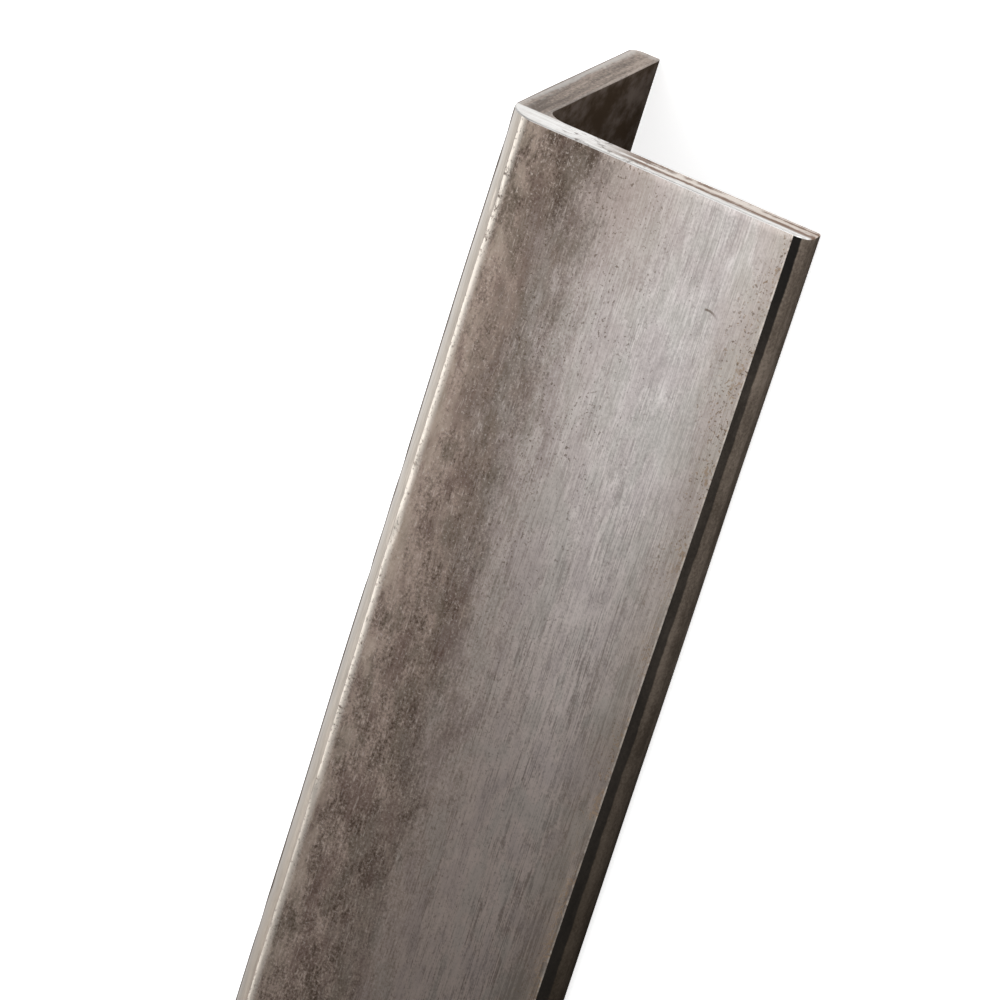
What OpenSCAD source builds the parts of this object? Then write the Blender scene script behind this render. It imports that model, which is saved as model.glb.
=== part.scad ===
// Equal-leg steel angle, a short cut length of bar.
// It lies heel up on its two toe edges, with its length along X.
// The origin is on the floor, under the middle of the bar.

/* [Section] */
// Width of each leg, from the heel to the toe
leg_w = 50; // [30:1:120]
// Thickness of both legs
leg_t = 5; // [3:0.5:10]
// Radius round the outside of the heel
heel_r = 5.5; // [1:0.5:9]
// Fillet radius in the root, between the two inner faces
root_r = 3.5; // [1:0.5:12]
// Radius of each toe's edge on the outer face
toe_outer_r = 2.2; // [0.4:0.1:2.4]
// Radius of each toe's edge on the inner face, where the bar meets the floor
toe_inner_r = 0.5; // [0.1:0.1:0.6]

/* [Length] */
// Length between the two square sawn ends
bar_l = 500; // [100:10:3000]

/* [Hidden] */
$fn = 96;
steel_grey = [0.56, 0.53, 0.51];
// Each leg slopes down at this angle, so the two outer faces meet at a ridge
slope = 45;
// Height of the sharp corner that the heel would have without its radius
heel_h = (leg_w + leg_t - 2 * toe_inner_r) * sin(slope) + toe_inner_r;
// How far a rounding cut spills past the edge that it rounds
spill = leg_t / 4;

// The region between a square corner at the origin and the arc that rounds it,
// with a margin past the corner on both sides.
module corner_web(r) {
    difference() {
        translate([-spill, -spill])
            square(r + spill);
        translate([r, r])
            circle(r);
    }
}

// One leg along X, outer face down, with its toe's two edges rounded.
module leg_section() {
    difference() {
        square([leg_w, leg_t]);
        translate([leg_w, 0])
            rotate(90)
                corner_web(toe_outer_r);
        translate([leg_w, leg_t])
            rotate(180)
                corner_web(toe_inner_r);
    }
}

// The L section, heel at the origin and legs along X and Y.
module angle_section() {
    difference() {
        union() {
            leg_section();
            mirror([1, -1])
                leg_section();
            translate([leg_t, leg_t])
                corner_web(root_r);
        }
        corner_web(heel_r);
    }
}

// The bar: the section turned heel up and run along X.
module steel_angle() {
    color(steel_grey)
        translate([0, 0, heel_h])
            rotate([90, 0, 90])
                linear_extrude(bar_l, center = true)
                    rotate(180 + slope)
                        angle_section();
}

steel_angle();
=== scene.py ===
import math

import bpy
import numpy as np
from mathutils import Matrix, Vector


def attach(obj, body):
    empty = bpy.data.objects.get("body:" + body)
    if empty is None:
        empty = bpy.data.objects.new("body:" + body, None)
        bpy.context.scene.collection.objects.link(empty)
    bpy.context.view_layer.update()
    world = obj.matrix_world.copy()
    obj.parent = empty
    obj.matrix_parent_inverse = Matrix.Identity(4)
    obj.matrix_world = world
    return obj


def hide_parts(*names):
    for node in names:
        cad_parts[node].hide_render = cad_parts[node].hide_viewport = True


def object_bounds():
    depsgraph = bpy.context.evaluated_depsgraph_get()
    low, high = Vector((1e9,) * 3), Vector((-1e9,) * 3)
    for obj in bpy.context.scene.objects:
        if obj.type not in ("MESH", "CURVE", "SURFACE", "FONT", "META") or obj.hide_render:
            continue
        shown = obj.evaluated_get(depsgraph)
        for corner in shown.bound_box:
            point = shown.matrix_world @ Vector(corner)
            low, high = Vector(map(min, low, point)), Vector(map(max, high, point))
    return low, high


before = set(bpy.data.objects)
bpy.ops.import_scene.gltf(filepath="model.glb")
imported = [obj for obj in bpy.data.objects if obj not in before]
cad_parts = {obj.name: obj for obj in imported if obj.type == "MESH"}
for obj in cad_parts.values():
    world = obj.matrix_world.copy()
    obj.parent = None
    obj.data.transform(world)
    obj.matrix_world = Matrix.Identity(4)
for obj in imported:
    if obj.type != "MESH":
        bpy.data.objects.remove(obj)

cadLow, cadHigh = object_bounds()
millimetre = 0.001
halfRoot = math.sqrt(0.5)  # sine and cosine of the legs' slope

# The bar's section, as in the solid, in millimetres
bar = {
    "legWidth": 50.0,
    "legThickness": 5.0,
    "heelRadius": 5.5,
    "rootRadius": 3.5,
    "toeOuterRadius": 2.2,
    "toeInnerRadius": 0.5,
    "edgeBreak": 0.22,  # file stroke round the sawn ends
}
barLength = (cadHigh.x - cadLow.x) / millimetre
# height of the heel's sharp corner over the floor, with both toes down
heelHeight = (bar["legWidth"] + bar["legThickness"] - 2 * bar["toeInnerRadius"]) * halfRoot
heelHeight += bar["toeInnerRadius"]


# Skin of the bar, lengths in millimetres

skin = {
    "toeArcSteps": 8,
    "faceSteps": 40,
    "heelSteps": 24,
    "acrossSteps": 12,  # over the thickness, at the toes and on the sawn ends
    "nearStep": 1.1,  # between rings over the first stretch
    "nearStretch": 165.0,
    "farStep": 2.3,
    "breakSteps": 3,
    "waveCount": 22,
    "waveDepth": 0.03,
    "waveAcross": (14.0, 46.0),  # wavelengths across and along the bar
    "waveAlong": (28.0, 110.0),
    "nickCount": 70,
    "nickDepth": 0.16,
    "nickShare": (0.3, 1.0),  # of that depth
    "nickWidth": (0.35, 0.8),
    "nickLength": (0.8, 2.4),
    "nickTurn": (-170.0, -100.0),  # degrees round the heel
    "nickToe": (0.1, 1.6),  # under the second leg's face, and in from its toe
    "nickNear": (2.0, 150.0),  # from the cut, for the first third of them
    "sawDepth": 0.035,
    "sawFine": (0.3, 5.1),  # share of the grooves' depth, and radians to the millimetre
    "sawCoarse": (0.2, 2.3),
    "sawDrift": ((0.35, 0.31), (0.2, 0.83)),  # how far the blade wandered, and radians to the millimetre
    "seed": 11,
}


# points of an arc are centre + radius * (cos, sin), and its normals are (cos, sin) times side
def arcRun(centre, radius, start, end, steps, side=1.0):
    turn = np.radians(np.linspace(start, end, steps + 1))
    ray = np.stack([np.cos(turn), np.sin(turn)], 1)
    return np.array(centre) + radius * ray, side * ray


# points of a straight run are start + share * (end - start), all with one normal
def straightRun(start, end, normal, steps):
    share = np.linspace(0.0, 1.0, steps + 1)[:, None]
    points = np.array(start) * (1 - share) + np.array(end) * share
    return points, np.repeat(np.array([normal], float), steps + 1, 0)


def joinRuns(runs):
    points = [run[0][min(k, 1):] for k, run in enumerate(runs)]
    normals = [run[1][min(k, 1):] for k, run in enumerate(runs)]
    return np.vstack(points), np.vstack(normals)


# The outer and the inner outline, each from toe one over the heel or root to toe two.
# Both have as many points, so a line from one to the other crosses the thickness.
def sectionOutlines():
    w, t = bar["legWidth"], bar["legThickness"]
    heel, root = bar["heelRadius"], bar["rootRadius"]
    outer, inner = bar["toeOuterRadius"], bar["toeInnerRadius"]
    toeSteps, faceSteps, heelSteps = skin["toeArcSteps"], skin["faceSteps"], skin["heelSteps"]
    outerSide = joinRuns([
        arcRun((w - outer, outer), outer, 0, -90, toeSteps),
        straightRun((w - outer, 0), (heel, 0), (0, -1), faceSteps),
        arcRun((heel, heel), heel, -90, -180, heelSteps),
        straightRun((0, heel), (0, w - outer), (-1, 0), faceSteps),
        arcRun((outer, w - outer), outer, 180, 90, toeSteps),
    ])
    innerSide = joinRuns([
        arcRun((w - inner, t - inner), inner, 0, 90, toeSteps),
        straightRun((w - inner, t), (t + root, t), (0, 1), faceSteps),
        arcRun((t + root, t + root), root, -90, -180, heelSteps, -1.0),
        straightRun((t, t + root), (t, w - inner), (1, 0), faceSteps),
        arcRun((t - inner, w - inner), inner, 0, 90, toeSteps),
    ])
    return outerSide, innerSide


# The closed ring: outer outline, flat of toe two, inner outline backwards, flat of toe one
def sectionRing():
    (outer, outerNormal), (inner, innerNormal) = sectionOutlines()
    across = skin["acrossSteps"]
    toeTwo = straightRun(outer[-1], inner[-1], (0, 1), across)
    toeOne = straightRun(inner[0], outer[0], (1, 0), across)
    points = [outer, toeTwo[0][1:-1], inner[::-1], toeOne[0][1:-1]]
    normals = [outerNormal, toeTwo[1][1:-1], innerNormal[::-1], toeOne[1][1:-1]]
    return np.vstack(points), np.vstack(normals), len(outer)


# Depth of the rolling waves: a sum of plane waves with random headings,
# moved so that none is negative
def rollingWaves(u, v, x, rng):
    count = skin["waveCount"]
    acrossRate = 2 * np.pi / rng.uniform(*skin["waveAcross"], count)
    alongRate = 2 * np.pi / rng.uniform(*skin["waveAlong"], count)
    heading = rng.uniform(0, 2 * np.pi, count)
    phase = rng.uniform(0, 2 * np.pi, count)
    depth = np.zeros(np.broadcast(u, x).shape)
    for k in range(count):
        swing = u * np.cos(heading[k]) + v * np.sin(heading[k])
        depth += np.sin(swing * acrossRate[k] + x * alongRate[k] + phase[k])
    depth *= skin["waveDepth"] / math.sqrt(count / 2)
    return depth - depth.min()


# Depth of the handling nicks: round dips, depth * exp(-distance squared), along the heel.
# Every fourth one is at the second leg's toe.
def edgeNicks(ring, x, rng):
    count = skin["nickCount"]
    heel = bar["heelRadius"]
    turn = np.radians(rng.uniform(*skin["nickTurn"], count))
    onHeel = np.stack([heel + heel * np.cos(turn), heel + heel * np.sin(turn)], 1)
    under, inFrom = skin["nickToe"]
    onToe = np.array([under, bar["legWidth"] - inFrom])
    spot = np.where((np.arange(count) % 4 == 0)[:, None], onToe, onHeel)
    place = rng.uniform(-0.5, 0.5, count) * barLength
    place[:count // 3] = barLength / 2 - rng.uniform(*skin["nickNear"], count // 3)
    width = rng.uniform(*skin["nickWidth"], count)
    length = rng.uniform(*skin["nickLength"], count)
    deep = skin["nickDepth"] * rng.uniform(*skin["nickShare"], count)
    depth = np.zeros((len(x), len(ring)))
    for k in range(count):
        acrossShare = ((ring - spot[k]) ** 2).sum(1) / width[k] ** 2
        alongShare = ((x - place[k]) / length[k]) ** 2
        depth += deep[k] * np.exp(-alongShare)[:, None] * np.exp(-acrossShare)[None, :]
    return depth


# A section place (u, v) at x along the bar, in millimetres, turned heel up and given in metres:
# y = (v - u) / root 2 and z = heel height - (u + v) / root 2
def heelUp(u, v, x):
    y = (v - u) * halfRoot
    z = heelHeight - (u + v) * halfRoot
    return np.stack([x, y, z], -1) * millimetre


# Where the rings stand along the bar, and how far each is drawn in to break the sawn edges:
# the break is a quarter circle, x = end - size * (1 - sin) and inset = size * (1 - cos)
def ringStations():
    end, size = barLength / 2, bar["edgeBreak"]
    nearEnd = end - skin["nearStretch"]
    near = np.linspace(end - size, nearEnd, int(round(skin["nearStretch"] / skin["nearStep"])) + 1)
    farCount = int(round((nearEnd + end - size) / skin["farStep"]))
    far = np.linspace(nearEnd, -end + size, farCount + 1)[1:]
    turn = np.linspace(0, np.pi / 2, skin["breakSteps"] + 1)[1:]
    breakX = end - size + size * np.sin(turn)
    breakInset = size * (1 - np.cos(turn))
    x = np.concatenate([breakX[::-1], near, far, -breakX])
    inset = np.concatenate([breakInset[::-1], np.zeros(len(near) + len(far)), breakInset])
    return x, inset


# The sawn end: a grid of points, outer * (1 - share) + inner * share, between the two outlines.
# The blade's grooves are sunk into it: two waves across each leg's thickness that drift along the leg.
def sawnEnd(ringPoints, outlineCount, x, inward, rng):
    across = skin["acrossSteps"]
    outer = ringPoints[:outlineCount]
    innerStart = outlineCount + across - 1
    inner = ringPoints[innerStart:innerStart + outlineCount][::-1]
    share = np.linspace(0, 1, across + 1)[1:-1][None, :, None]
    grid = outer[1:-1, None, :] * (1 - share) + inner[1:-1, None, :] * share
    u, v = grid[..., 0], grid[..., 1]
    far, near = np.maximum(u, v), np.minimum(u, v)
    drift = np.zeros_like(far)
    for swing, rate in skin["sawDrift"]:
        drift += swing * np.sin(far * rate + rng.uniform(0, 6))
    fine, fineRate = skin["sawFine"]
    coarse, coarseRate = skin["sawCoarse"]
    groove = 0.5 + fine * np.sin((near + drift) * fineRate)
    groove += coarse * np.sin((near + 0.5 * drift) * coarseRate + 1.0)
    return heelUp(u, v, x + inward * skin["sawDepth"] * groove)


# Indices of one sawn end's grid, outline step by thickness step: the ring's rim on all four sides,
# and the end's own points inside it
def endGrid(ringStart, ringCount, outlineCount, innerStart):
    across = skin["acrossSteps"]
    rim = ringStart + np.arange(ringCount)
    index = np.zeros((outlineCount, across + 1), int)
    index[:, 0] = rim[:outlineCount]
    index[-1, 1:-1] = rim[outlineCount:outlineCount + across - 1]
    innerFirst = outlineCount + across - 1
    index[:, -1] = rim[innerFirst:innerFirst + outlineCount][::-1]
    index[0, 1:-1] = rim[innerFirst + outlineCount:][::-1]
    inside = (outlineCount - 2) * (across - 1)
    index[1:-1, 1:-1] = innerStart + np.arange(inside).reshape(outlineCount - 2, across - 1)
    return index


# Four corners of each cell of a grid of indices
def gridQuads(index):
    corners = [index[:-1, :-1], index[1:, :-1], index[1:, 1:], index[:-1, 1:]]
    return np.stack(corners, -1).reshape(-1, 4)


def makeBar(rolled, sawn):
    rng = np.random.default_rng(skin["seed"])
    ring, normal, outlineCount = sectionRing()
    x, inset = ringStations()
    ringCount, stationCount = len(ring), len(x)
    u, v = ring[None, :, 0], ring[None, :, 1]
    depth = rollingWaves(u, v, x[:, None], rng) + edgeNicks(ring, x, rng) + inset[:, None]
    moved = ring[None] - normal[None] * depth[..., None]
    sides = heelUp(moved[..., 0], moved[..., 1], np.repeat(x[:, None], ringCount, 1)).reshape(-1, 3)
    rightEnd = sawnEnd(moved[0], outlineCount, x[0], -1.0, rng).reshape(-1, 3)
    leftEnd = sawnEnd(moved[-1], outlineCount, x[-1], 1.0, rng).reshape(-1, 3)
    points = np.vstack([sides, rightEnd, leftEnd])

    station = np.arange(stationCount)[:, None] * ringCount
    wrapped = np.append(np.arange(ringCount), 0)[None, :]
    sideQuads = gridQuads((station + wrapped).T)[:, ::-1]
    lastRing = (stationCount - 1) * ringCount
    right = gridQuads(endGrid(0, ringCount, outlineCount, len(sides)))[:, ::-1]
    left = gridQuads(endGrid(lastRing, ringCount, outlineCount, len(sides) + len(rightEnd)))
    quads = np.vstack([sideQuads, right, left])

    mesh = bpy.data.meshes.new("steelAngle")
    mesh.from_pydata(points, [], quads)
    # the broken edges and the ends are sawn metal, the rest is as rolled
    ringOfQuad = np.tile(np.arange(stationCount - 1), ringCount)
    breakSteps = skin["breakSteps"]
    isBreak = (ringOfQuad < breakSteps) | (ringOfQuad >= stationCount - 1 - breakSteps)
    finish = np.concatenate([isBreak.astype(int), np.ones(len(right) + len(left), int)])
    mesh.polygons.foreach_set("material_index", finish)
    mesh.polygons.foreach_set("use_smooth", np.ones(len(quads), bool))
    edgeEnds = np.empty(len(mesh.edges) * 2, int)
    mesh.edges.foreach_get("vertices", edgeEnds)
    edgeEnds = edgeEnds.reshape(-1, 2)
    onRim = (edgeEnds < ringCount).all(1)
    onRim |= ((edgeEnds >= lastRing) & (edgeEnds < len(sides))).all(1)
    sharp = mesh.attributes.new("sharp_edge", "BOOLEAN", "EDGE")
    sharp.data.foreach_set("value", onRim)
    mesh.materials.append(rolled)
    mesh.materials.append(sawn)
    mesh.update()
    piece = bpy.data.objects.new("steelAngle", mesh)
    bpy.context.scene.collection.objects.link(piece)
    print("bar skin:", len(points), "points,", len(quads) * 2, "triangles")
    return piece


# Shader maths: a wire is one output socket, and arithmetic on wires adds Math nodes
class Wire:
    def __init__(self, tree, socket=None):
        self.tree = tree
        self.socket = socket

    def node(self, kind, settings=None, sockets=None, output=0):
        made = self.tree.nodes.new("ShaderNode" + kind)
        for name, value in (settings or {}).items():
            setattr(made, name, value)
        for key, value in (sockets or {}).items():
            if isinstance(value, Wire):
                self.tree.links.new(value.socket, made.inputs[key])
            else:
                made.inputs[key].default_value = value
        return Wire(self.tree, made.outputs[output] if len(made.outputs) else None)

    # another output of the same node
    def twin(self, output):
        return Wire(self.tree, self.socket.node.outputs[output])

    def maths(self, operation, first, second=0.0):
        return self.node("Math", {"operation": operation}, {0: first, 1: second})

    def __add__(self, other):
        return self.maths("ADD", self, other)

    __radd__ = __add__

    def __sub__(self, other):
        return self.maths("SUBTRACT", self, other)

    def __rsub__(self, other):
        return self.maths("SUBTRACT", other, self)

    def __mul__(self, other):
        return self.maths("MULTIPLY", self, other)

    __rmul__ = __mul__

    # 0 below low, 1 above high, smooth between
    def rise(self, low, high):
        ends = {"Value": self, "From Min": low, "From Max": high}
        return self.node("MapRange", {"interpolation_type": "SMOOTHSTEP"}, ends)

    # 0 up to begin, 1 from full to fade, 0 again past end
    def band(self, begin, full, fade, end):
        return self.rise(begin, full) * (1 - self.rise(fade, end))

    def most(self, other):
        return self.maths("MAXIMUM", self, other)

    def mix(self, first, second):
        return self.node("Mix", {"data_type": "RGBA"}, {0: self, 6: first, 7: second}, 2)

    # a finish laid over a ground where the wire is 1, as strongly as strength says
    def over(self, ground, finish, strength):
        return (self * strength).mix(ground, finish)

    # the first colour, multiplied by the second where the wire is 1
    def tint(self, first, second):
        settings = {"data_type": "RGBA", "blend_type": "MULTIPLY"}
        return self.node("Mix", settings, {0: self, 6: first, 7: second}, 2)


def colour(red, green, blue):
    return (red, green, blue, 1.0)


def newMaterial(name):
    material = bpy.data.materials.new(name)
    material.use_nodes = True
    material.node_tree.nodes.clear()
    return material, Wire(material.node_tree)


# Section place of a surface point in millimetres: u along leg one, v along leg two, x along the bar
def sectionPlace(start):
    place = start.node("TexCoord", output=3)
    axis = start.node("SeparateXYZ", sockets={0: place})
    x, y, z = [axis.twin(k) * (1 / millimetre) for k in range(3)]
    drop = heelHeight - z
    return (drop - y) * halfRoot, (drop + y) * halfRoot, x


# Noise over (u, v, x). A pattern gives the cycles to the millimetre along leg one, leg two and the bar,
# then the detail, the roughness, and a shift that sets the patterns apart.
def noise(u, v, x, pattern):
    rateU, rateV, rateX, detail, rough, shift = pattern
    place = u.node("CombineXYZ", sockets={0: u * rateU + shift, 1: v * rateV, 2: x * rateX})
    sockets = {"Vector": place, "Scale": 1.0, "Detail": detail, "Roughness": rough}
    return u.node("TexNoise", sockets=sockets)


rolledPatterns = {
    "line": (6.6, 6.6, 0.17, 3.0, 0.65, 0.0),  # roll lines, thin and long
    "grain": (2.6, 2.6, 2.2, 3.0, 0.7, 9.0),
    "scratch": (3.8, 3.8, 0.45, 2.0, 0.65, 33.0),  # short scratches along the bar
    "streak": (0.45, 0.45, 0.03, 3.0, 0.6, 7.0),  # broad streaks along the bar
    "drag": (4.6, 4.6, 0.012, 2.0, 0.65, 27.0),  # lines drawn out along the whole bar
    "blotch": (0.10, 0.10, 0.045, 4.0, 0.6, 3.0),
    "cast": (0.26, 0.26, 0.11, 2.0, 0.5, 13.0),  # mauve, red and green casts
    "fray": (0.32, 0.32, 0.13, 5.0, 0.7, 5.0),
    "ripple": (0.15, 0.15, 0.50, 3.0, 0.65, 51.0),  # waver of the lines along heel and toes
    "mottle": (0.34, 0.34, 0.15, 3.0, 0.65, 71.0),
    "speck": (2.5, 2.5, 2.2, 1.0, 0.5, 81.0),
    "inside": (0.11, 0.11, 0.17, 5.0, 0.65, 91.0),
}

rolledLook = {
    # millimetres
    "farReach": (20.0, 130.0),  # from the cut, where the far stretch's look begins and is full
    "cutReach": (3.0, 26.0),  # from the cut, where the look of the very end fades and is gone
    "scaleReach": 17.0,  # how far the brown scale reaches from the heel near the cut
    "scaleSpread": 7.5,  # how much farther it reaches along the bar
    "scaleRagged": (18.0, 20.0, 4.0, 5.0),  # moves of its edge by blotch, fray, scratch and grain
    "scarPlace": (38.8, 18.1, 2.3),  # across and from the cut to the arc's centre, and its radius
    "blackReach": 0.42,  # how far the toe's black comes up the face
    "blackSpread": 0.4,  # how much farther along the bar
    "lineRelief": 0.005,
    "grainRelief": 0.004,
    "scaleRelief": 0.02,
    # degrees round the heel from the second leg's face, where each band begins, is full, fades and ends
    "crustBand": (8.0, 18.0, 29.0, 36.0),
    "rubbedBand": (29.0, 36.0, 59.0, 61.5),
    "seamBand": (51.0, 58.0, 60.0, 61.2),
    "burnishHighlightBand": (60.3, 62.0, 65.0, 79.0),
    "blackEnd": (21.0, 29.0),  # round the toe, where the black fades and is gone
    "metallic": 0.96,
    "roughness": 0.33,
    "dullRoughness": 0.5,  # more where scale or rust lies
    "lineRoughness": 0.1,
    "silverDark": colour(0.355, 0.325, 0.314),
    "silverPale": colour(0.755, 0.712, 0.694),
    "silverMauve": colour(0.50, 0.440, 0.440),
    "silverGreen": colour(0.49, 0.485, 0.450),
    "silverFar": colour(1.0, 0.885, 0.82),  # its warmer cast away from the cut
    "toeShade": colour(0.69, 0.68, 0.67),  # darkens the face towards the toes
    "scaleHaze": colour(0.300, 0.240, 0.206),
    "scaleDark": colour(0.076, 0.054, 0.041),
    "scalePale": colour(0.440, 0.346, 0.294),
    "scaleOlive": colour(0.112, 0.086, 0.066),
    "scaleGreen": colour(0.155, 0.130, 0.100),
    "scaleRed": colour(0.165, 0.112, 0.096),
    "fleck": colour(0.62, 0.56, 0.51),
    "worn": colour(0.46, 0.385, 0.315),
    "tan": colour(0.37, 0.300, 0.240),
    "rust": colour(0.28, 0.185, 0.105),
    "rustDark": colour(0.10, 0.068, 0.045),
    "rubbed": colour(0.86, 0.83, 0.80),
    "rubbedDark": colour(0.66, 0.63, 0.60),
    # partly bare metal, partly a painted highlight: the heel's light line and the toe's arris
    "burnishAndHighlight": colour(0.94, 0.87, 0.78),
    "rubbedCast": colour(1.0, 0.945, 0.875),  # warms the rubbed band towards its front edge
    "heelFarShade": colour(0.56, 0.53, 0.50),  # painted shade: darkens the heel away from the cut, where the light falls off
    "toe": colour(0.102, 0.081, 0.064),
    "toePale": colour(0.248, 0.202, 0.166),
    "toeFarShade": colour(0.28, 0.27, 0.25),  # painted shade: darkens the toes away from the cut, where the light falls off
    "black": colour(0.012, 0.0115, 0.011),
    "inside": colour(0.068, 0.046, 0.030),
    "insidePale": colour(0.180, 0.143, 0.120),
}


def rolledSteel():
    material, start = newMaterial("rolledSteel")
    look = rolledLook
    w, t = bar["legWidth"], bar["legThickness"]
    heel, toe = bar["heelRadius"], bar["toeOuterRadius"]
    degree = 180 / math.pi
    u, v, x = sectionPlace(start)
    far = u.most(v)
    near = start.maths("MINIMUM", u, v)
    toEnd = barLength / 2 - x
    away = toEnd.rise(*look["farReach"])
    atCut = 1 - toEnd.rise(*look["cutReach"])

    # the patterns that the finishes share
    def pattern(name):
        return noise(u, v, x, rolledPatterns[name])

    line, grain, scratch, speck = pattern("line"), pattern("grain"), pattern("scratch"), pattern("speck")
    streak, drag, ripple = pattern("streak"), pattern("drag"), pattern("ripple")
    blotch, mottle, fray, cast = pattern("blotch"), pattern("mottle"), pattern("fray"), pattern("cast")

    # silver ground with roll lines along the bar, warmer and more uneven away from the cut
    silverTone = line * 0.8 + scratch * 0.3 + grain * 0.5 + streak * 0.3 + mottle * 0.35 - 0.625
    silverTone = (silverTone - 0.5) * (away + 1.12) + 0.5 + (drag - 0.5) * (away * 0.9 + 0.15)
    silverTone = silverTone + (far.band(20.0, 30.0, 32.0, 44.0) * 0.16 + 0.04) * away
    base = silverTone.rise(0.22, 0.78).mix(look["silverDark"], look["silverPale"])
    base = away.tint(base, look["silverFar"])
    base = (1 - cast.rise(0.38, 0.52)).over(base, look["silverMauve"], 0.35)
    base = cast.rise(0.48, 0.62).over(base, look["silverGreen"], 0.35)
    haze = (blotch * 0.6 + fray * 0.4).rise(0.42, 0.62)
    base = haze.over(base, look["scaleRed"], 0.12)
    base = (line * 0.55 + streak * 0.45).rise(0.58, 0.70).over(base, look["silverPale"], 0.35)

    # brown scale from the heel outwards, worn paler by the heel, darker towards its ragged edge
    reach = look["scaleReach"] + away * look["scaleSpread"]
    edge = far - reach  # millimetres past the scale's edge
    for wave, swing in zip((blotch, fray, scratch, grain), look["scaleRagged"]):
        edge = edge + (wave - 0.5) * swing
    base = (1 - edge.rise(2.0, 18.0)).over(base, look["scaleHaze"], 0.38)
    base = (atCut * (1 - far.rise(20.0, 42.0))).over(base, look["scaleHaze"], 0.5)
    scaled = 1 - (edge * (1 - away * 0.3)).rise(-9.0, 7.0)
    scaleTone = grain * 0.9 + scratch * 0.4 + mottle * 0.7 + streak * 0.2 - 0.60
    # painted shade: the scale is made darker away from the cut, where the light falls off
    scaleTone = scaleTone + (1 - far.rise(4.0, 14.0)) * 0.10 - away * 0.10 - atCut * 0.16 + 0.07
    scaleColour = scaleTone.rise(0.22, 0.84).mix(look["scaleDark"], look["scalePale"])
    scaleColour = (1 - cast.rise(0.36, 0.48)).over(scaleColour, look["scaleRed"], 0.5)
    scaleColour = cast.rise(0.52, 0.64).over(scaleColour, look["scaleGreen"], 0.4)
    shade = edge.band(-13.0, -5.0, -2.0, 6.0) * (mottle * 0.6 + grain * 0.4).rise(0.36, 0.56)
    scaleColour = shade.over(scaleColour, look["scaleOlive"], 0.55)
    flecks = grain.rise(0.62, 0.68).most(scratch.rise(0.65, 0.70)).most(1 - speck.rise(0.24, 0.32))
    scaleColour = flecks.over(scaleColour, look["fleck"], 0.42 - away * 0.12)
    base = scaled.mix(base, scaleColour)
    byHeel = 1 - (far + (grain - 0.5) * 5.0).rise(4.5, 9.0)
    worn = byHeel * (mottle * 0.5 + fray * 0.5).rise(0.46, 0.58)
    base = worn.over(base, look["worn"], 0.45)
    pitted = edge.band(-12.0, -4.0, 6.0, 24.0) * fray.rise(0.42, 0.56)
    pits = (speck.rise(0.62, 0.70) * pitted).most(speck.rise(0.70, 0.77) * haze)
    base = pits.over(base, look["rustDark"], 0.7 - away * 0.4)

    # one curved scar on the front face, an arc round a point, dark where it starts
    scarU, scarX, scarRadius = look["scarPlace"]
    aside, along = u - scarU, toEnd - scarX
    offArc = start.maths("SQRT", aside * aside + along * along) - scarRadius
    scar = 1 - start.maths("ABSOLUTE", offArc).rise(0.08, 0.26)
    scar = scar * aside.band(-0.6, -0.3, 0.2, 2.2) * (1 - along.rise(-1.5, -0.9))
    base = (scar * (1 - v.rise(0.5, 1.0))).over(base, look["rustDark"], 0.75)

    # towards the toes: a tan cast, rust along the edge, and a light arris, partly bare metal and partly a
    # painted highlight
    base = (far.rise(w - 22.0, w - 4.0) * (away * 0.42 + 0.14)).tint(base, look["toeShade"])
    tanned = (far + (fray - 0.5) * 8.0).rise(w - 14.0, w - 1.5)
    base = tanned.over(base, look["tan"], 0.45)
    rustSide = (far + (grain - 0.5) * 4.0).rise(w - 5.5, w - 3.0)
    rustSide = rustSide * (mottle * 0.6 + grain * 0.4 + away * 0.03).rise(0.52, 0.61)
    rustDots = (far + (blotch - 0.5) * 24.0 - away * 3.0).rise(w - 9.0, w - 2.0)
    rustDots = rustDots * speck.rise(0.60, 0.67)
    rust = (rustSide * 0.7).most(rustDots * 0.85)
    base = rust.mix(base, grain.rise(0.4, 0.6).mix(look["rustDark"], look["rust"]))
    # millimetres past the line where the toe turns black
    toeSide = far + away * look["blackSpread"] - (w - toe - look["blackReach"])
    # painted highlight: a thin light line along the toe's edge, partly bare metal
    arris = toeSide.rise(-0.34, -0.14) * ripple.rise(0.40, 0.56)
    base = arris.over(base, look["burnishAndHighlight"], 0.4)

    # heel: a rubbed pale band over the ridge, with a light line at its front edge, partly burnish and
    # partly a painted highlight
    turn = start.maths("ARCTAN2", heel - v, heel - u) * degree
    outside = 1 - near.rise(2.4, 3.0)
    wander = turn + (ripple - 0.5) * 3.0 - toEnd.rise(60.0, 130.0) * 4.0
    begin, full, fade, end = look["rubbedBand"]
    rubbed = turn.rise(begin, full) * (1 - wander.rise(fade, end)) * outside
    crust = turn.band(*look["crustBand"]) * outside
    base = crust.over(base, look["scaleDark"], 0.88)
    rubbedTone = (line * 0.5 + streak * 0.5).rise(0.36, 0.6)
    base = rubbed.over(base, rubbedTone.mix(look["rubbedDark"], look["rubbed"]), 0.95)
    base = (rubbed * wander.rise(22.0, 58.0)).tint(base, look["rubbedCast"])
    seam = wander.band(*look["seamBand"]) * outside
    base = seam.over(base, look["scaleDark"], 0.28)
    # painted highlight: the light line on the heel, fading over its turn, partly burnish
    bright = wander.band(*look["burnishHighlightBand"]) * outside
    bright = bright * (grain * 0.5 + ripple * 0.6).rise(0.38, 0.52)
    bright = bright * (1 - speck.rise(0.60, 0.70) * 0.6)
    base = bright.over(base, look["burnishAndHighlight"], 0.85)
    handled = rubbed.most(bright)
    # painted shade: the heel's pale band and bright line made darker away from the cut
    base = ((rubbed + bright * 0.5) * toEnd.rise(40.0, 170.0)).tint(base, look["heelFarShade"])
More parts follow.
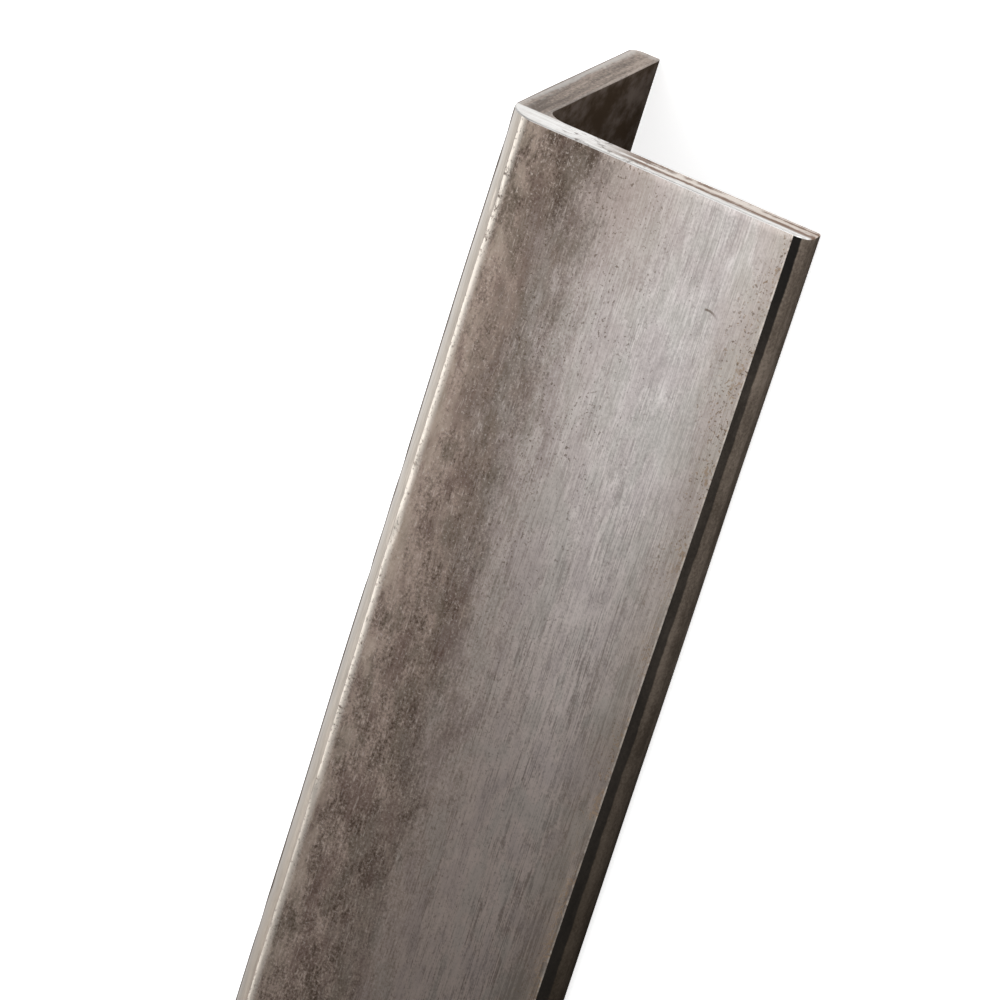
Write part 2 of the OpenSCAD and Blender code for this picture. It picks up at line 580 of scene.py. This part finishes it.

    # toes: a black band round the toe's outer rounding, then dark brown scale down the toe
    toeTurn = start.maths("ARCTAN2", far - (w - toe), toe - near) * degree
    onToe = toeSide.rise(-0.04, 0.05)
    toeTone = streak * 0.35 + fray * 0.35 + grain * 0.3
    base = onToe.mix(base, toeTone.rise(0.38, 0.66).mix(look["toe"], look["toePale"]))
    # painted shade: the toes made darker away from the cut
    base = (onToe * toEnd.rise(-10.0, 135.0)).tint(base, look["toeFarShade"])
    blackEdge = onToe * (1 - (toeTurn + (fray - 0.5) * 20.0).rise(*look["blackEnd"]))
    base = blackEdge.over(base, look["black"], 0.97 - toEnd.rise(5.0, 30.0) * 0.2)

    # inside of the angle: dark scale
    inside = near.rise(t - 0.9, t - 0.5) * (1 - far.rise(w - 0.6, w - 0.2))
    insideTone = pattern("inside").rise(0.38, 0.66)
    base = inside.mix(base, insideTone.mix(look["inside"], look["insidePale"]))

    # scale and rust are duller than metal, and rougher towards the heel
    dull = scaled.most(rust) * (1 - handled)
    caked = onToe.most(inside).most(crust)
    dull = (dull * 0.3).most(caked * 0.9)
    roughScale = 1 - far.rise(12.0, 28.0)
    grainDepth = roughScale * look["scaleRelief"] + look["grainRelief"]
    relief = line * look["lineRelief"] + grain * grainDepth
    roughness = look["roughness"] + dull * look["dullRoughness"] + (line - 0.5) * look["lineRoughness"]
    bump = start.node("Bump", sockets={"Strength": 1.0, "Distance": millimetre, "Height": relief})
    shader = start.node("BsdfPrincipled", sockets={
        "Base Color": base,
        "Metallic": look["metallic"] - dull,
        "Specular IOR Level": 0.0,
        "Roughness": roughness,
        "Normal": bump,
    })
    start.node("OutputMaterial", sockets={0: shader})
    return material


sawnPatterns = {
    "lineOne": (0.09, 3.0, 0.4, 4.0, 0.6, 0.0),  # smears of the cut along leg one
    "lineTwo": (2.2, 0.088, 0.4, 4.0, 0.6, 40.0),  # and along leg two
    "cloud": (0.6, 0.6, 0.3, 5.0, 0.65, 25.0),
    "wander": (0.12, 0.012, 0.1, 3.0, 0.6, 5.0),
    "stain": (0.0425, 0.85, 0.3, 3.0, 0.6, 61.0),
    "speck": (0.6, 1.0, 0.3, 3.0, 0.65, 15.0),
    "brown": (0.9, 0.063, 0.3, 4.0, 0.6, 44.0),
    "grain": (3.0, 1.05, 0.3, 3.0, 0.65, 52.0),
}

sawnLook = {
    "bright": colour(0.70, 0.695, 0.685),
    "brightDark": colour(0.52, 0.495, 0.47),
    "tan": colour(0.52, 0.41, 0.32),
    "stain": colour(0.17, 0.085, 0.042),
    "speck": colour(0.10, 0.075, 0.06),
    "brown": colour(0.105, 0.076, 0.057),
    "brownPale": colour(0.44, 0.352, 0.292),
    # pale rim, partly bare metal, partly a painted highlight
    "rim": colour(0.56, 0.53, 0.50),
    "grooveRelief": 0.012,  # millimetres
    "speckRelief": 0.03,
    "metallic": 0.95,
    "dullMetallic": 0.65,  # less where it has browned
    "roughness": 0.36,
    "dullRoughness": 0.24,
    "lineRoughness": 0.1,
}


def sawnSteel():
    material, start = newMaterial("sawnSteel")
    look = sawnLook
    w, t = bar["legWidth"], bar["legThickness"]
    u, v, x = sectionPlace(start)

    def pattern(name):
        return noise(u, v, x, sawnPatterns[name])

    # bright metal with the smears of the cut
    lineOne, lineTwo, cloud = pattern("lineOne"), pattern("lineTwo"), pattern("cloud")
    base = (lineOne * 0.7 + cloud * 0.3).rise(0.34, 0.62).mix(look["brightDark"], look["bright"])

    # brown stains in streaks along the first leg, and specks near the heel
    wander = (pattern("wander") - 0.5) * 0.64
    smear = noise(u, v + wander, x, sawnPatterns["stain"])
    stain = (smear * 0.7 + cloud * 0.3).rise(0.43, 0.54)
    stain = stain * u.rise(w * 0.26, w * 0.46) * v.rise(0.8, 1.6)
    base = (u.rise(w * 0.3, w * 0.6) * v.rise(1.2, 2.2)).over(base, look["tan"], 0.5)
    base = stain.over(base, look["stain"], 0.9)
    specks = pattern("speck").rise(0.54, 0.64) * u.band(7.0, 11.0, 19.0, 28.0)
    base = specks.over(base, look["speck"], 0.8)

    # the second leg's end has browned over; its rim is pale, partly bare metal and partly a painted
    # highlight along the edge
    second = (v + wander).rise(t * 0.9, t * 1.02)
    smearTwo, grain = pattern("brown"), pattern("grain")
    brownTone = smearTwo * 0.5 + grain * 0.4 + lineTwo * 0.2 + v.rise(w * 0.3, w) * 0.08 - 0.10
    brown = brownTone.rise(0.34, 0.66).mix(look["brown"], look["brownPale"])
    # painted highlight, with bare metal: the pale rim round the end's edges
    outerRim = 1 - (u + (cloud - 0.5) * 2.0 + (smearTwo - 0.5) * 3.0).rise(0.7, 1.9)
    toeRim = (v + (cloud - 0.5) * 4.0).rise(w - 2.6, w - 0.6) * 0.6
    innerRim = u.rise(t - 0.45, t - 0.3) * 0.3
    rim = outerRim.most(toeRim).most(innerRim)
    brown = rim.over(brown, look["rim"], smearTwo * 0.5 + cloud * 0.5 + 0.14)
    brown = (1 - u.rise(0.30, 0.55)).mix(brown, look["brown"])  # a dark outline round the rim
    base = second.mix(base, brown)

    dull = stain.most(second * (1 - rim * 0.6))
    grooves = lineOne * (1 - second) + lineTwo * second
    relief = grooves * look["grooveRelief"] - specks * look["speckRelief"]
    roughness = look["roughness"] + dull * look["dullRoughness"] + (lineOne - 0.5) * look["lineRoughness"]
    bump = start.node("Bump", sockets={"Strength": 1.0, "Distance": millimetre, "Height": relief})
    shader = start.node("BsdfPrincipled", sockets={
        "Base Color": base,
        "Metallic": look["metallic"] - dull * look["dullMetallic"],
        "Roughness": roughness,
        "Normal": bump,
    })
    start.node("OutputMaterial", sockets={0: shader})
    return material


piece = makeBar(rolledSteel(), sawnSteel())
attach(piece, "root")
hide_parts("steel_angle")
print("bar in place")


# Floor, lamps and camera

studio = {
    "floorSize": 14.0,
    "floorColour": colour(0.82, 0.82, 0.82),
    "floorLift": 0.75,  # added for the eye and for reflections, so that the floor reads white
    "skyFoot": colour(1.0, 1.0, 1.0),  # where it meets the floor
    "skyHorizon": colour(0.80, 0.80, 0.80),
    "skyTop": colour(0.10, 0.10, 0.10),
    "skyLean": 0.3,  # the white comes up higher behind the bar
    "footRise": (0.02, 0.14),  # heights, from 0 to 1, where the sky changes
    "topRise": (0.3, 0.85),
}

# Softboxes, in metres, watts and degrees of spread
lamps = {
    "key": {
        "place": (0.238, -0.17, 0.36),
        "aim": (0.228, -0.01, 0.02),
        "size": (0.36, 0.36),
        "watts": 0.25,
        "spread": 110.0,  # as with a grid on its front
    },
    "fill": {
        "place": (0.40, -0.20, 0.15),
        "aim": (0.23, -0.02, 0.025),
        "size": (0.12, 0.12),
        "watts": 0.08,
        "spread": 100.0,
    },
    "ridge": {  # a strip along the bar, for the bright line on the heel
        "place": (-0.12, 0.23, 0.51),
        "aim": (-0.12, 0.0, 0.035),
        "size": (0.9, 0.13),
        "watts": 0.75,
        "spread": 180.0,
    },
}


def makeFloor():
    half = studio["floorSize"] / 2
    mesh = bpy.data.meshes.new("floor")
    corners = [(-half, -half, 0), (half, -half, 0), (half, half, 0), (-half, half, 0)]
    mesh.from_pydata(corners, [], [(0, 1, 2, 3)])
    material, start = newMaterial("paleFloor")
    ground = start.node("BsdfDiffuse", sockets={"Color": studio["floorColour"]})
    eye = start.node("LightPath")
    glossy, through = eye.twin(3), eye.twin(6)
    seen = eye.most(glossy).most(through)
    lift = start.node("Emission", sockets={"Strength": seen * studio["floorLift"]})
    both = start.node("AddShader", sockets={0: ground, 1: lift})
    start.node("OutputMaterial", sockets={0: both})
    mesh.materials.append(material)
    floor = bpy.data.objects.new("floor", mesh)
    bpy.context.scene.collection.objects.link(floor)


def aimed(place, target):
    return (Vector(target) - Vector(place)).to_track_quat("-Z", "Y")


def makeLamp(name, place, aim, size, watts, spread):
    data = bpy.data.lights.new(name, "AREA")
    data.shape = "RECTANGLE"
    data.size, data.size_y = size
    data.energy = watts
    data.spread = math.radians(spread)
    lamp = bpy.data.objects.new(name, data)
    lamp.location = place
    lamp.rotation_mode = "QUATERNION"
    lamp.rotation_quaternion = aimed(place, aim)
    lamp.visible_camera = False
    bpy.context.scene.collection.objects.link(lamp)


# White round the horizon and dim overhead, as on a studio sweep
def makeSky():
    world = bpy.data.worlds.new("studio")
    bpy.context.scene.world = world
    world.use_nodes = True
    world.node_tree.nodes.clear()
    start = Wire(world.node_tree)
    heading = start.node("TexCoord", output=0)
    axis = start.node("SeparateXYZ", sockets={0: heading})
    height = axis.twin(2) - axis.twin(1) * studio["skyLean"]
    sky = height.rise(*studio["topRise"]).mix(studio["skyHorizon"], studio["skyTop"])
    sky = axis.twin(2).rise(*studio["footRise"]).mix(studio["skyFoot"], sky)
    light = start.node("Background", sockets={"Color": sky, "Strength": 1.0})
    start.node("OutputWorld", sockets={0: light})


# The camera stands over the near toe and is turned on its side, so that the bar rises up the picture
camera = {
    "aim": (cadHigh.x - 0.05015, -0.02546, 0.03282),
    "azimuth": 24.098,
    "elevation": 25.246,
    "roll": -83.087,
    "distance": 0.8653,
    "focalPixels": 6000.0,
    "picturePixels": 1000.0,
    "sensor": 36.0,
    "clip": (0.01, 100.0),
}


def makeCamera():
    turn, rise = math.radians(camera["azimuth"]), math.radians(camera["elevation"])
    roll = math.radians(camera["roll"])
    back = Vector((math.sin(turn) * math.cos(rise), -math.cos(turn) * math.cos(rise), math.sin(rise)))
    level = Vector((0, 0, 1)).cross(back).normalized()
    upright = back.cross(level)
    right = level * math.cos(roll) + upright * math.sin(roll)
    up = back.cross(right)
    data = bpy.data.cameras.new("camera")
    data.sensor_width = camera["sensor"]
    data.lens = camera["focalPixels"] * camera["sensor"] / camera["picturePixels"]
    data.clip_start, data.clip_end = camera["clip"]
    eye = bpy.data.objects.new("camera", data)
    place = Vector(camera["aim"]) + back * camera["distance"]
    eye.matrix_world = Matrix.Translation(place) @ Matrix((right, up, back)).transposed().to_4x4()
    bpy.context.scene.collection.objects.link(eye)
    bpy.context.scene.camera = eye


makeFloor()
makeSky()
for lampName, lamp in lamps.items():
    makeLamp(lampName, **lamp)
makeCamera()
bpy.context.scene.view_settings.view_transform = "Standard"
print("studio in place")
